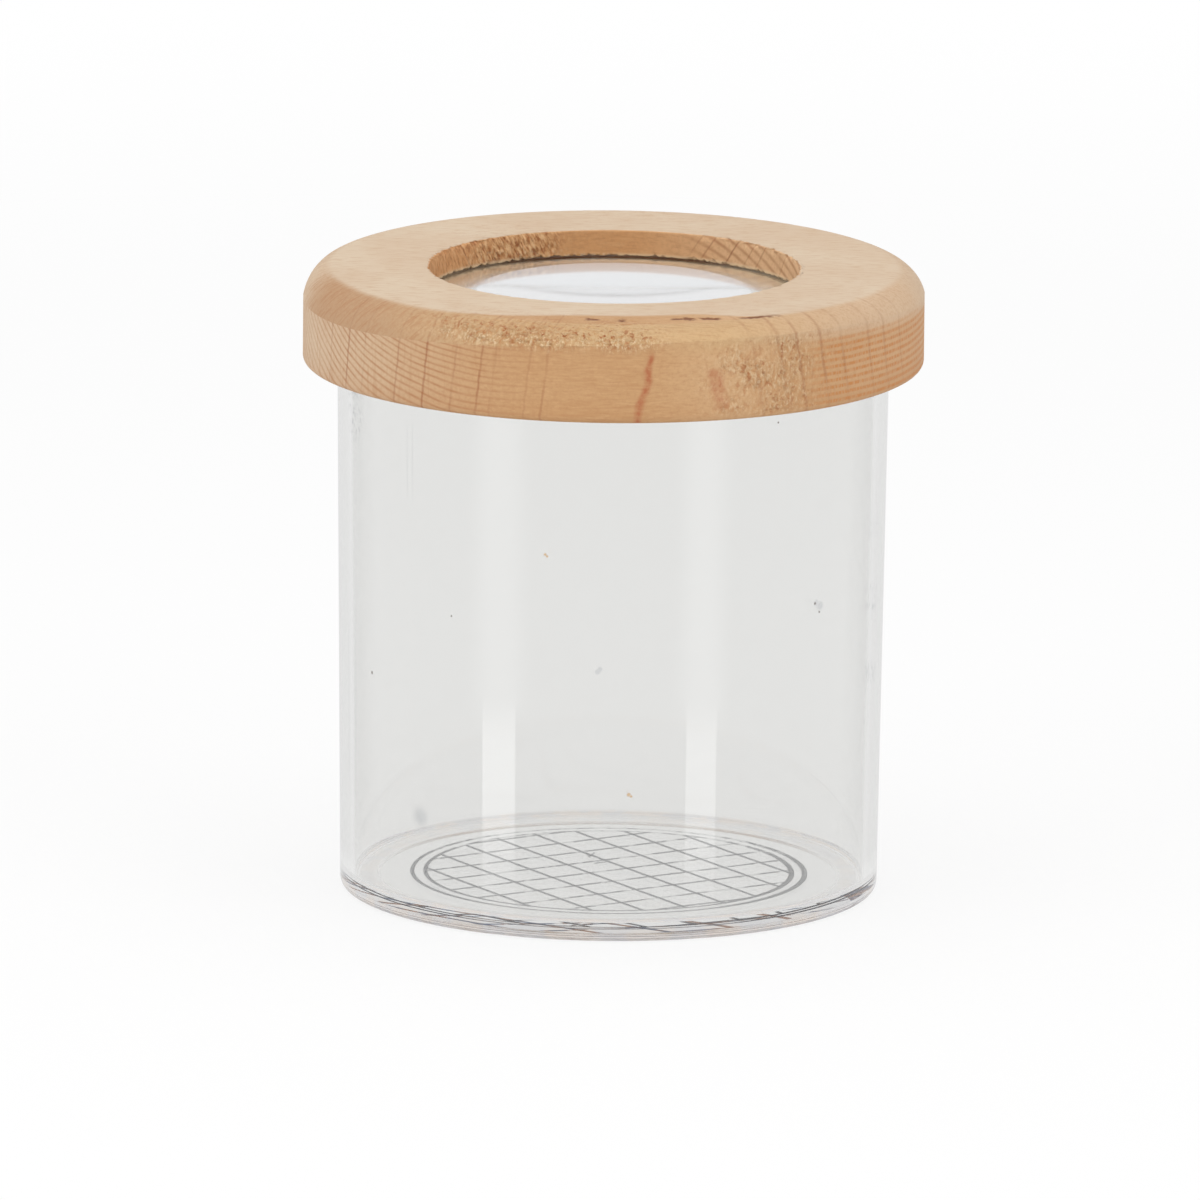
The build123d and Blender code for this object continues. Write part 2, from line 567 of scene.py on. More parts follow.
def clear_plastic(name, refraction, tint, polish, smear, scratch):
    """Clear plastic with handling marks. Lamps shine through it, so that it casts no black shadow, and light
    that has been mirrored to and fro inside it is let out in the end, as it is in real plastic."""
    material, tree, shader, place = new_finish(name)
    in_mm = in_millimetres(place)
    rough = add(tree, "ShaderNodeGroup", {
        "Position": in_mm, "Polish": polish, "Smear": smear, "Scratch": scratch}, node_tree=handled)
    fill(shader, {"Base Color": tint, "IOR": refraction, "Transmission Weight": 1.0, "Roughness": rough})
    path = outputs(tree, "ShaderNodeLightPath")
    let_through = largest(path["Is Shadow Ray"], path["Glossy Depth"] > mirrorings - 0.5)
    see_through = add(tree, "ShaderNodeBsdfTransparent", {"Color": dimmed})
    seen = mixed(let_through, Value(shader.outputs[0]), see_through)
    fill(tree.nodes["Material Output"], {"Surface": seen})
    return material, tree, shader, in_mm


print("clear plastic lets light out after", mirrorings, "mirrorings")

# %% [markdown]
# ## The jar
# One clear moulding: a wall that widens a little towards the rim so that it leaves its mould, a floor, and a
# foot ring that keeps the floor off the table. The wall is plain, so its look comes from the profile: light
# that runs inside the floor and the rounded edges makes the bright and dark lines along the base. On top of
# that, cool and warm patches of light in the foot and a greyer wall seen edge on are painted into its colour.
# A few specks and scuffs are placed one by one on the wall.

# %% Marks on the jar
jar_foot_radius = 30.75 * mm
haze_colour = colour(200, 202, 204)
nick_colour = colour(206, 207, 210)
dust_colour = colour(214, 164, 110)
speck_colour = colour(88, 78, 70)

# Marks of one colour: how soft they are, then each one's turn in degrees, height and radius
jar_marks = (
    (haze_colour, 0.8, ((-44.1, 12.6, 0.95),)),
    (nick_colour, 0.5, ((-2.7, 31.6, 0.3), (-2.2, 31.9, 0.26), (49.6, 37.2, 0.5), (48.4, 37.6, 0.4))),
    (dust_colour, 0.4, ((-13.9, 45.0, 0.17), (-13.5, 44.8, 0.14), (4.1, 17.3, 0.22), (4.6, 17.1, 0.15))),
    (speck_colour, 0.3, ((-60.9, 27.8, 0.2), (-35.5, 36.7, 0.11), (48.0, 37.6, 0.15), (49.4, 36.5, 0.13),
                         (36.6, 59.5, 0.12))))

# A scuff is its turn, height, half its width in degrees and half its height
jar_scuffs = ((-70.5, 57.0, 2.4, 3.0), (75.0, 44.0, 2.5, 1.3), (75.0, 35.6, 2.5, 1.6), (74.5, 27.0, 2.5, 1.3))

# A scratch is its turn, its lower and upper end and its strength
jar_scratches = ((-74.0, 14.0, 31.5, 0.6), (-47.9, 49.6, 58.0, 0.15))


def on_wall(turn, height):
    """A place on the jar's outer wall in millimetres, by its turn from the camera's side in degrees."""
    share = height * mm / jar_high.z
    radius = (jar_foot_radius + (jar_rim_radius - jar_foot_radius) * share) / mm
    return toward(turn) * radius + Vector((0, 0, height))


def on_marks(in_mm, places, soft):
    """1 on the given places and 0 away from them. A place is (turn, height, radius)."""
    mask = 0.0
    for turn, height, size in places:
        away = vector_calc("DISTANCE", in_mm, on_wall(turn, height))
        mask = largest(mask, fade(away, size * (1 - soft), size * (1 + soft)))
    return mask


print("marks on the jar:", sum(len(places) for _, _, places in jar_marks))

# %% Jar finish
jar_tint = colour(241, 241, 240)
edge_on_shade = colour(220, 220, 218)
foot_light_cool = colour(213, 212, 214)
foot_light_warm = colour(227, 216, 207)
scuff_colour = colour(170, 172, 174)
gate_mark = -to_front * 4.6 - to_right * 0.7 + Vector((0, 0, 1.2))

clear_jar, tree, shader, in_mm = clear_plastic(
    "clear_jar", refraction=1.59, tint=jar_tint, polish=0.0, smear=0.004, scratch=0.05)
height = split(in_mm)[2]
aside = vector_calc("DOT_PRODUCT", in_mm, to_right)
ahead = vector_calc("DOT_PRODUCT", in_mm, to_front)
from_axis = vector_calc("LENGTH", vector_calc("MULTIPLY", in_mm, (1.0, 1.0, 0.0)))

# Painted light: light that runs inside the foot is painted into its colour as cool and warm patches.
# Painted shade: seen edge on, the wall is painted greyer
in_foot = fade(height, 1.2, 2.2) * step(from_axis, 25.5, 27.5)
foot_light_patches = painted(foot_light_cool, (step(noise(in_mm, 0.28, 2.0), 0.42, 0.58), foot_light_warm))
edge_on = step(add(tree, "ShaderNodeLayerWeight", {"Blend": 0.5}, "Facing"), 0.55, 0.8)
edge_on = edge_on * step(height, 3.0, 6.0)

# Scuffs and scratches go by the turn from the camera's side and the height
wall_turn = calc("ARCTAN2", aside, ahead) * (180 / math.pi)
grit = step(noise(in_mm, 1.6, 3.0, 0.6), 0.54, 0.64)
worn = step(vector_calc("DISTANCE", in_mm, gate_mark), 0.9, 2.4, 0.8, 0.0) * grit
for turn, level, half_width, half_height in jar_scuffs:
    patch = window(wall_turn, turn - half_width, turn + half_width, 1.0)
    patch = patch * window(height, level - half_height, level + half_height, 0.6)
    worn = largest(worn, patch * grit)
for turn, low, high, strength in jar_scratches:
    hairline = step(abs(wall_turn - turn), 0.05, 0.35, strength, 0.0)
    worn = largest(worn, hairline * window(height, low, high, 2.0))
marks = [(on_marks(in_mm, places, soft), mark_colour) for mark_colour, soft, places in jar_marks]
fill(shader, {"Base Color": painted(
    jar_tint, (in_foot, foot_light_patches), (edge_on, edge_on_shade), *marks, (worn, scuff_colour))})
print("jar finish:", len(jar_scuffs), "scuffs and", len(jar_scratches), "scratches")

# %% Jar shape
jar_wall = 1.6
jar_floor_top = 2.0
foot_height = 0.5
foot_width = 4.4
floor_corner = 0.8
rim_edge = 0.4
foot_edge = 1.0
foot_inner_edge = 0.15
jar_segments = 360
jar_top = jar_high.z / mm
rim_outer = jar_rim_radius / mm
foot_outer = jar_foot_radius / mm
floor_edge = foot_outer + (rim_outer - foot_outer) * jar_floor_top / jar_top - jar_wall

jar_profile = rounded([
    (0, jar_floor_top, 0),
    (floor_edge, jar_floor_top, floor_corner),
    (rim_outer - jar_wall, jar_top, rim_edge),
    (rim_outer, jar_top, rim_edge),
    (foot_outer, 0, foot_edge),
    (foot_outer - foot_width, 0, foot_inner_edge),
    (foot_outer - foot_width, foot_height, foot_inner_edge),
    (0, foot_height, 0),
], arc_points=8)
jar = turned("jar_shell", jar_profile, jar_segments, clear_jar)
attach(jar, "jar")
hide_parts("jar")

# %% [markdown]
# ## The measuring grid
# Fine ribs stand under the floor in 5 mm squares, inside two ring lines. A rib's flanks send light away from
# the eye, so it reads as a grey line. Modelled as clear ribs they would all but vanish in even light, so the
# ribs are their own piece with a grey finish, let a hair into the floor above them.
# Each family of lines is a row of points with one thin bar on each, as long as the circle is wide there.

# %% Grid finish
line_dark = colour(104, 106, 110)
line_light = colour(146, 148, 152)
reflection_warm = colour(206, 150, 112)
reflection_cool = colour(112, 128, 166)
reflection_share = 0.65
mirrored_share = 0.8
faintest_line = 0.15
fullest_line = 0.95

grid_lines, tree, shader, place = new_finish("grid_lines")
in_mm = in_millimetres(place)
broken = stored(tree, "broken")
ring = stored(tree, "ring")

# Painted reflection: mirrored to and fro in the floor, the lines are painted as paler fragments with a touch
# of colour
mirrored = outputs(tree, "ShaderNodeLightPath")["Glossy Depth"] > 0.5
painted_reflection = painted(reflection_warm, (step(noise(in_mm, 0.6, 2.0), 0.42, 0.58), reflection_cool))
shade = painted(line_dark, (noise(in_mm, 1.7, 2.0), line_light), (mirrored * reflection_share, painted_reflection))

# One family of lines has gaps, and so have the ring lines at the back, which are fainter in the middle
aside = abs(vector_calc("DOT_PRODUCT", in_mm, to_right))
behind = step(vector_calc("DOT_PRODUCT", in_mm, -to_front), 4.0, 14.0)
line_gaps = broken * (1 - step(noise(in_mm, 0.5, 3.0, 0.6), 0.40, 0.52))
ring_gaps = ring * behind * (1 - step(noise(in_mm, 0.8, 3.0, 0.6), 0.46, 0.56))
ring_faint = ring * (1 - step(aside, 9.0, 19.5, 0.5, 1.0))
solid_line = (1 - largest(line_gaps, ring_gaps)) * (1 - ring_faint)
shown = step(solid_line, 0.0, 1.0, faintest_line, fullest_line)
fill(shader, {
    "Base Color": shade, "Roughness": 0.5, "Alpha": shown * (1 - mirrored * (1 - mirrored_share))})
print("grid finish:", len(tree.nodes), "nodes")

# %% Grid lines
ring_line_points = 256
grid_tree, given, grid_in = new_group("measuring_grid", "GeometryNodeTree", {
    "Unused": "Geometry", "Grid Radius": "Float", "Ring Radius": "Float", "Pitch": "Float",
    "Line Width": "Float", "Line Height": "Float", "Level": "Float",
    "Lines Along X": "Int", "Lines Along Y": "Int", "Finish": "Material"}, ("Grid", "Geometry"))


def line_family(count, crossways, broken):
    """A row of parallel bars. crossways is the axis that the row runs along, x or y."""
    along = "y" if crossways == "x" else "x"
    row_start = (count - 1) / -2 * given["Pitch"]
    row = add(grid_tree, "GeometryNodeMeshLine", {
        "Count": count, "Start Location": combine(**{crossways: row_start}, z=given["Level"]),
        "Offset": combine(**{crossways: given["Pitch"]})})
    away = split(add(grid_tree, "GeometryNodeInputPosition"))["xy".index(crossways)]
    length = calc("SQRT", given["Grid Radius"] ** 2 - away ** 2) * 2
    size = combine(**{along: length, crossways: given["Line Width"]}, z=given["Line Height"])
    bar = add(grid_tree, "GeometryNodeMeshCube", {"Size": (1, 1, 1)})
    bars = add(grid_tree, "GeometryNodeInstanceOnPoints", {"Points": row, "Instance": bar, "Scale": size})
    return store(add(grid_tree, "GeometryNodeRealizeInstances", {"Geometry": bars}), "broken", broken)


def ring_line(ring_radius):
    """A flat bar bent into a ring, broader at its right and left ends."""
    circle = add(grid_tree, "GeometryNodeCurvePrimitiveCircle", {
        "Resolution": ring_line_points, "Radius": ring_radius})
    section = add(grid_tree, "GeometryNodeCurvePrimitiveQuadrilateral", {
        "Width": given["Line Width"], "Height": given["Line Height"]})
    bar = add(grid_tree, "GeometryNodeCurveToMesh", {"Curve": circle, "Profile Curve": section})
    here = add(grid_tree, "GeometryNodeInputPosition")
    aside = vector_calc("DOT_PRODUCT", here, to_right)
    wider = step(aside, 9 * mm, 20 * mm, -0.2, 0.6) + step(aside, -20 * mm, -12 * mm, 0.35, 0.0)
    outward = vector_calc("MULTIPLY", here, (1, 1, 0))
    radius = vector_calc("LENGTH", outward)
    widened = scaled(outward, (radius - ring_radius) / radius * wider)
    return store(shifted(bar, vector_calc("ADD", widened, combine(z=given["Level"]))), "ring", 1.0)


print("grid lines: two families and two rings")

# %% Gate marks
tick_width = 0.2 * mm

# A mark is its place to the right and back, its turn in degrees and its length
gate_ticks = ((-2.4, 8.2, 12, 2.6), (-1.9, 8.4, -14, 2.0), (-0.6, 4.4, -62, 1.3), (-1.2, 4.0, -50, 1.0))


def gate_tick(aside, behind, turn, length):
    """A short raised mark where the plastic was let into the mould, in millimetres from the middle."""
    bar = add(grid_tree, "GeometryNodeMeshCube", {
        "Size": combine(tick_width, length * mm, given["Line Height"])})
    spot = (to_right * aside - to_front * behind) * mm
    return add(grid_tree, "GeometryNodeTransform", {
        "Geometry": bar, "Translation": combine(spot.x, spot.y, given["Level"]),
        "Rotation": (0, 0, view_azimuth + math.radians(turn))})


joined = grid_tree.nodes.new("GeometryNodeJoinGeometry")
for part in (line_family(given["Lines Along X"], "y", 1.0), line_family(given["Lines Along Y"], "x", 0.0),
             ring_line(given["Grid Radius"]), ring_line(given["Ring Radius"]),
             *(gate_tick(*tick) for tick in gate_ticks)):
    put(joined.inputs[0], part)
give_out(dressed(Value(joined.outputs[0]), given["Finish"]))

# %% Grid shape
grid_radius = 21.0 * mm
ring_line_radius = 22.5 * mm
grid_pitch = 5.0 * mm
grid_line_width = 0.4 * mm
rib_low = 0.44 * mm
rib_high = 0.53 * mm
measuring_grid = made_solid("measuring_grid", bpy.data.meshes.new("grid_seed"), [(grid_tree, grid_in, {
    "Grid Radius": grid_radius,
    "Ring Radius": ring_line_radius,
    "Pitch": grid_pitch,
    "Line Width": grid_line_width,
    "Line Height": rib_high - rib_low,
    "Level": (rib_high + rib_low) / 2,
    "Lines Along X": 2 * int(grid_radius / grid_pitch) + 1,
    "Lines Along Y": 2 * int(grid_radius / grid_pitch + 1 / 2),
    "Finish": grid_lines})])
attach(measuring_grid, "jar")

# %% [markdown]
# ## The lens
# A clear magnifier with a wide low dome above, a narrower dome below and a flat flange to hold it by.
# Its look is nothing but what it bends and mirrors, so the two domes follow true spheres closely.
# Outside the lower dome both faces are nearly flat, and there the wood round the lens shows through.

# %% Lens
ring_low, ring_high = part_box("lens_retaining_ring")
lens_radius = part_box("lens")[1].x / mm
flange_thickness = 1.8
upper_flange_width = 3.4
lower_flange_width = 8.7
flange_edge = 0.15
top_sphere = 145.0
bottom_sphere = 76.0
dome_rings = 28
lens_segments = 256
upper_dome_edge = lens_radius - upper_flange_width
lower_dome_edge = lens_radius - lower_flange_width
flange_bottom = ring_high.z / mm
flange_top = flange_bottom + flange_thickness

clear_lens, *_ = clear_plastic(
    "clear_lens", refraction=1.49, tint=colour(244, 246, 249), polish=0.1, smear=0.02, scratch=0.05)
top_dome = sphere_arc(top_sphere, upper_dome_edge, flange_top, 1, dome_rings)
bottom_dome = sphere_arc(bottom_sphere, lower_dome_edge, flange_bottom, -1, dome_rings)
flange = [(upper_dome_edge, flange_top, 0), (lens_radius, flange_top, flange_edge),
          (lens_radius, flange_bottom, flange_edge), (lower_dome_edge, flange_bottom, 0)]
lens_profile = rounded(top_dome + flange + bottom_dome[::-1], hold=0.03)
lens = turned("lens_body", lens_profile, lens_segments, clear_lens)
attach(lens, "lens")
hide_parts("lens")

# %% [markdown]
# ## Beech
# The lid is turned from one block of beech, so its figure is solid: growth rings are cylinders about a pith
# line that lies outside the lid, a little askew to the grain, and rays are thin lines that cross them.
# Where the turned side cuts across the grain, at left and right, the rings show as fine lines or bands.
# Where it runs along the grain, the wood is plain. The top is paler than the turned side, partly in the sanded
# wood's own tone and partly as painted sheen and light from above.
# Everything is measured in the block: along the grain, across it and up, in millimetres. The lid's mesh
# carries four numbers for the finish: how far a place faces along the grain, and whether it is on the flat
# top, on the rounded edge, or torn.

# %% Lid sizes
lid_low, lid_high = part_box("lid_ring")
lid_radius = lid_high.x / mm
lid_top = lid_high.z / mm
lid_bottom = lid_low.z / mm
socket_radius = 31.9
lens_side_clearance = 0.2
lens_play = 0.2
lip_width = 3.25
edge_run = 3.5
edge_drop = 2.6
shoulder = jar_top
seat_radius = lens_radius + lens_side_clearance
window_radius = seat_radius - lip_width
lip_bottom = flange_top + lens_play
bore_middle = (lip_bottom + lid_top) / 2
print(f"lid: {2 * lid_radius:.1f} mm across, with a hole of {2 * window_radius:.1f} mm")

# %% Beech block
grain_turn = view_azimuth
beech, tree, shader, place = new_finish("beech")
block = add(tree, "ShaderNodeMapping", {
    "Vector": place, "Rotation": (0, 0, -grain_turn), "Scale": (1 / mm, 1 / mm, 1 / mm)})
along, across, up = split(block)
from_axis = calc("SQRT", along * along + across * across)
turn = calc("ARCTAN2", along, -across) * (180 / math.pi)
half_turn = (turn + 90) % 180 - 90


def stretched(*scales):
    """Block coordinates, drawn out or packed along each axis."""
    return vector_calc("MULTIPLY", block, scales)


end_grain = stored(tree, "end_grain")
torn = stored(tree, "torn")
on_top = stored(tree, "flat_top")
near_edge = stored(tree, "rounded_edge")
on_edge = between(step(along, 2.0, 14.0), step(near_edge, 0.965, 0.995), step(near_edge, 0.25, 1.0))
not_top = 1 - on_top
on_side = (1 - on_edge) * not_top
in_bore = fade(from_axis, window_radius + 0.45, window_radius + 1.25)
outside = on_side * (1 - in_bore)
print("beech block turned by", round(math.degrees(grain_turn), 1), "degrees")

# %% Plain wood
side_colour = colour(201, 158, 113)
left_end_colour = colour(215, 190, 161)
right_end_colour = colour(208, 167, 126)
mid_right_colour = colour(217, 179, 136)
low_side_shade = colour(176, 122, 76)
patch_colour = colour(186, 132, 86)
top_colour_and_sheen = colour(220, 199, 173)
edge_left_colour = colour(187, 151, 117)
edge_front_colour = colour(212, 179, 134)
edge_right_colour = colour(217, 189, 158)
edge_back_colour = colour(216, 193, 165)
bore_colour = colour(216, 160, 108)
bore_left_colour = colour(232, 169, 113)
bore_right_colour = colour(240, 198, 154)
ring_colour_and_light = colour(255, 253, 240)
shaded_colour = colour(150, 84, 50)

edge_wood = painted(
    edge_left_colour,
    (step(along, -30.0, -8.0), edge_front_colour),
    (step(along, 10.0, 30.0), edge_right_colour),
    (step(across, -11.0, -2.0), edge_back_colour))
bore_wood = painted(
    bore_colour,
    (step(along, 0.0, 17.0), bore_right_colour),
    (fade(along, -18.0, -12.0), bore_left_colour))
# Under the lens the ring and seat are a paler wood, painted nearly white as painted light where the lip shades
# them
under_lens = fade(from_axis, seat_radius + 0.2, seat_radius + 0.4)
under_lens = under_lens * fade(up, lip_bottom - 0.1, lip_bottom + 0.02)
# Under the lip, in the middle, the darker brown is painted shade
under_lip = under_lens * step(from_axis, window_radius + 0.15, window_radius + 1.15)
wood = painted(
    side_colour,
    (end_grain * fade(along, -34.0, -5.0), left_end_colour),
    (end_grain * step(along, 18.0, 30.0), right_end_colour),
    (on_edge * 0.9, edge_wood),
    (on_side * window(along, 8.0, 20.0, 5.0) * 0.75, mid_right_colour),
    (in_bore * 0.85, bore_wood),
    (under_lens, ring_colour_and_light),
    (under_lip * fade(abs(along), 8.0, 15.0), shaded_colour),
    # painted sheen: the top is paler partly in its own sanded tone and partly as sheen and light from above
    (on_top, top_colour_and_sheen),
    (step(noise(block, 0.09, 2.0), 0.3, 0.7, 0.0, 0.16), patch_colour),
    # painted shade: the side darkens towards its bottom
    (on_side * step(up, 61.0, 65.0, 0.22, 0.0), low_side_shade))
print("plain wood: top, side, edge and two ends")

# %% [markdown]
# ## Growth rings
# A tree grows one ring a year round its pith. A picture of rings could be wrapped round the lid, but it would
# not agree with itself where two faces meet. Here the rings are worked out in the block instead: how far a
# place is from the pith says in which year it grew, and the turned surface cuts the rings wherever it lies.
# They show as close lines on the left and in the bore, and as broad bands on the right.

# %% Rings and layers
ring_spacing = 0.72
ring_growth = 0.03
spacing_at = 51.0
thinnest_ring = 0.2
layer_spacing = 0.8
bore_spacing = 1.3
pith_up = 116.0
pith_middle = -29.0
pith_skew = 0.46

# The rings widen with their distance from the pith, so they are counted by a logarithm
pith_across = pith_middle + along * pith_skew
wander = (noise(stretched(0.02, 0.06, 0.06), 1.0, 2.0) - 0.5) * 3.0
from_pith = calc("SQRT", (across - pith_across) ** 2 + (up - pith_up) ** 2)
ring_width = largest((from_pith + wander - spacing_at) * ring_growth + ring_spacing, thinnest_ring)
year = calc("FRACT", calc("LOGARITHM", ring_width, math.e) / ring_growth)

# On the right the layers lie level, and in the bore they rise to the right, more steeply towards its end
past_middle = largest(along - 9.0, 0.0)
rise = in_bore * (along * 0.36 + past_middle * past_middle * 0.03)
layers = up + (wander * 0.25 + rise)
layer = calc("FRACT", layers / between(in_bore, layer_spacing, bore_spacing))
print("growth rings every", ring_spacing, "and", layer_spacing, "mm")

# %% Lines and bands
line_colour = colour(176, 121, 80)
bore_line_colour = colour(160, 92, 54)
band_colour = colour(198, 130, 72)

uneven_line = step(noise(stretched(0.5, 0.5, 0.9), 1.0, 2.0), 0.3, 0.7, 0.55, 1.0)
left_lines = window(year, 0.50, 0.79, 0.15) * uneven_line * outside * step(along, -20.0, -6.0, 1.0, 0.12)
left_lines = left_lines * fade(along, 0.0, 6.0) * step(along, -34.8, -31.0, 0.55, 1.0)
bore_lines = window(layer, 0.44, 0.76, 0.16) * in_bore * not_top * step(along, 5.0, 12.0) * uneven_line

# Fine rays comb the bands on the right, and cross the lines on the left, which gives them a woven look
around = turn * math.radians(lid_radius)
comb = step(noise(combine(around * 3.8, up * 0.7), 1.0, 1.0), 0.4, 0.6, 0.4, 1.0)
right_bands = window(layer, 0.28, 0.76, 0.12) * comb * outside * step(along, 20.0, 25.5)
woven = step(noise(combine(around * 1.9, up * 0.12), 1.0, 2.0), 0.54, 0.66)
woven = woven * outside * end_grain * fade(along, -10.0, 2.0)

# Sanding left slanting streaks on the rounded edge at the left
slanted = around - up * 0.9
streaks = noise(combine(slanted * 2.0, up * 0.4), 1.0, 3.0, 0.6)
streaked = step(streaks, 0.48, 0.66) * on_edge * fade(along, -10.0, 0.0) * not_top
wood = painted(
    wood,
    (left_lines * 0.8, line_colour),
    (bore_lines * 0.55, bore_line_colour),
    (right_bands * 0.85, band_colour),
    (woven * 0.3, line_colour),
    (streaked * 0.42, line_colour))
print("lines on the left, bands on the right and streaks on the edge")

# %% [markdown]
# ## Flecks and rays
# Along the grain beech has short dark flecks, many and alike, so noise that is drawn out along the grain can
# make them. Rays are thin sheets that run outwards from the pith, and on the turned side they show as upright
# lines. The strong ones are few and each has its own place, so they are listed by their turn.

# %% Flecks
fleck_colour = colour(182, 132, 90)
pale_fleck_colour = colour(222, 180, 134)
top_fleck_colour = colour(198, 160, 122)

grainy = noise(stretched(0.35, 4.0, 4.0), 1.0, 3.0, 0.6)
fibres = noise(stretched(2.5, 2.5, 2.5), 1.0, 4.0, 0.7)
top_grain = noise(stretched(0.42, 2.6, 2.6), 1.0, 4.0, 0.65)
side_grain = (1 - end_grain) * not_top
wood = painted(
    wood,
    (step(grainy, 0.50, 0.66) * side_grain * 0.34, fleck_colour),
    (fade(grainy, 0.34, 0.48) * side_grain * 0.25, pale_fleck_colour),
    (step(top_grain, 0.48, 0.64) * on_top * 0.5, top_fleck_colour),
    (step(fibres, 0.45, 0.65) * not_top * 0.24, fleck_colour))
print("flecks along the grain")

# %% Rays
ray_colour = colour(154, 94, 60)
ray_middle = 66.0

# A ray is its turn in degrees and its strength
left_rays = ((-64.6, 0.5), (-58.1, 0.85), (-52.9, 0.5), (-43.7, 0.7), (-37.0, 1.0), (-30.7, 0.45),
             (-25.3, 0.9), (-22.6, 0.3), (-15.9, 0.35), (-12.6, 0.55))
right_rays = ((27.5, 0.5), (33.0, 0.75), (37.0, 0.8), (42.5, 0.7), (47.7, 0.5), (55.4, 0.45), (60.6, 0.4),
              (67.0, 0.3))
left_bore_rays = ((44.0, 0.4), (53.5, 1.0))
right_bore_rays = ((-25.9, 0.5), (-30.6, 0.7), (-39.8, 1.0), (-47.1, 0.6), (-52.5, 0.6), (-65.8, 0.5))

# A family of rays: its slant in degrees for each millimetre up, the height it is measured at, how broad it is
wobble = (noise(block, 0.7, 2.0) - 0.5) * 0.7
rays = 0.0
for family, slant, middle, broad, where in (
        (left_rays, 0.2, ray_middle, 0.38, 1 - in_bore),
        (right_rays, -0.32, ray_middle, 0.62, 1 - in_bore),
        (left_bore_rays, 1.9, bore_middle, 0.7, in_bore),
        (right_bore_rays, -1.9, bore_middle, 0.6, in_bore)):
    leaning = half_turn - (up - middle) * slant + wobble
    for ray, strength in family:
        rays = largest(rays, step(abs(leaning - ray), 0.05, broad, strength, 0.0) * where)
faded = step(noise(stretched(0.5, 0.5, 0.25), 1.0, 2.0), 0.3, 0.6, 0.35, 1.0)
edge_faint = on_edge * step(along, 2.0, 14.0, 0.6, 0.2)
low_faint = step(along, 12.0, 20.0) * step(up, 62.0, 67.5, 0.45, 0.0) * (1 - in_bore)
rays = rays * faded * not_top * (1 - edge_faint) * (1 - low_faint)
wood = painted(wood, (rays * 0.6, ray_colour))
print("rays:", len(left_rays + right_rays + left_bore_rays + right_bore_rays))

# %% [markdown]
# ## Marks and torn grain
# At the front the wood has a reddish streak, a smudge beside it and some short cracks along the edge. Where
# the cutter met rising grain it tore fibres out and left pale fuzz with pits; the dark between the fibres and
# in the pits is painted shade. Colour alone would look painted on, so these places also get relief here, and
# real pits when the lid is shaped.

# %% Marks on the front
streak_colour = colour(178, 106, 70)
crack_colour = colour(118, 66, 30)
crack_from_axis = 30.2
cracks = ((-6.0, -3.0), (1.0, 2.4), (12.4, 17.6), (18.8, 22.6), (26.6, 35.0))

# One wavy reddish streak from the edge to the bottom, and a short smudge beside it
front_only = fade(across, -28.0, -26.0)
wave = (noise(block, 0.35, 2.0) - 0.5) * 1.4
streak_line = (up - 61.5) * 0.22 + 2.7
streak = fade(abs(along + wave - streak_line), 0.05, 0.7) * window(up, 61.0, 69.2, 0.6)
smudge_line = (67.5 - up) * 0.25 + 11.3
smudge = fade(abs(along - smudge_line), 0.1, 1.3) * window(up, 62.6, 67.2, 0.5)
smudge_soft = noise(stretched(1.0, 1.0, 0.6), 0.9, 2.0)
smudge = smudge * step(smudge_soft, 0.3, 0.6, 0.6, 1.0) * step(up, 62.5, 66.5, 0.65, 1.0)
mottled = step(noise(block, 1.3, 3.0, 0.6), 0.3, 0.65, 0.45, 1.0)
reddened = largest(streak, smudge) * mottled * front_only

# Short dark cracks where the front edge starts to round over, from one turn to another in degrees
opened = 0.0
for first, last in cracks:
    opened = largest(opened, window(turn + wobble, first, last, 0.6))
crack_wave = (noise(block, 0.5, 3.0, 0.7) - 0.5) * 2.4
crack_line = crack_from_axis + step(turn, 15.0, 33.0) * 2.4
on_crack = fade(abs(from_axis + crack_wave - crack_line), 0.15, 0.7)
opened = opened * on_crack * front_only * step(up, 70.5, 71.0)
wood = painted(wood, (reddened * 0.95, streak_colour), (opened * 0.9, crack_colour))
print("front marks: streak, smudge and", len(cracks), "cracks")

# %% Torn grain
pit_shade = colour(162, 90, 42)
fibre_colour = colour(240, 213, 174)
fibre_shadow = colour(192, 126, 72)
ridge_highlight = colour(244, 200, 150)
groove_shade = colour(158, 92, 54)

torn_here = torn * step(along, 6.0, 12.0, 1.0, 0.85)
fuzz = noise(stretched(1.3, 1.3, 0.75), 2.3, 4.0, 0.7)
pits = noise(stretched(1.0, 1.0, 0.8), 1.6, 3.0, 0.6)
upper_torn = fade(along, 4.0, 10.0) * step(up, 70.6, 71.2)
paler = step(fuzz, 0.5, 0.62, 0.0, 0.8) * (1 - upper_torn * 0.6) * step(along, 6.0, 12.0, 1.0, 0.7)
pitted = step(pits, 0.54, 0.64, 0.0, 0.95) * largest(step(along, 6.0, 12.0, 0.45, 0.7), upper_torn)

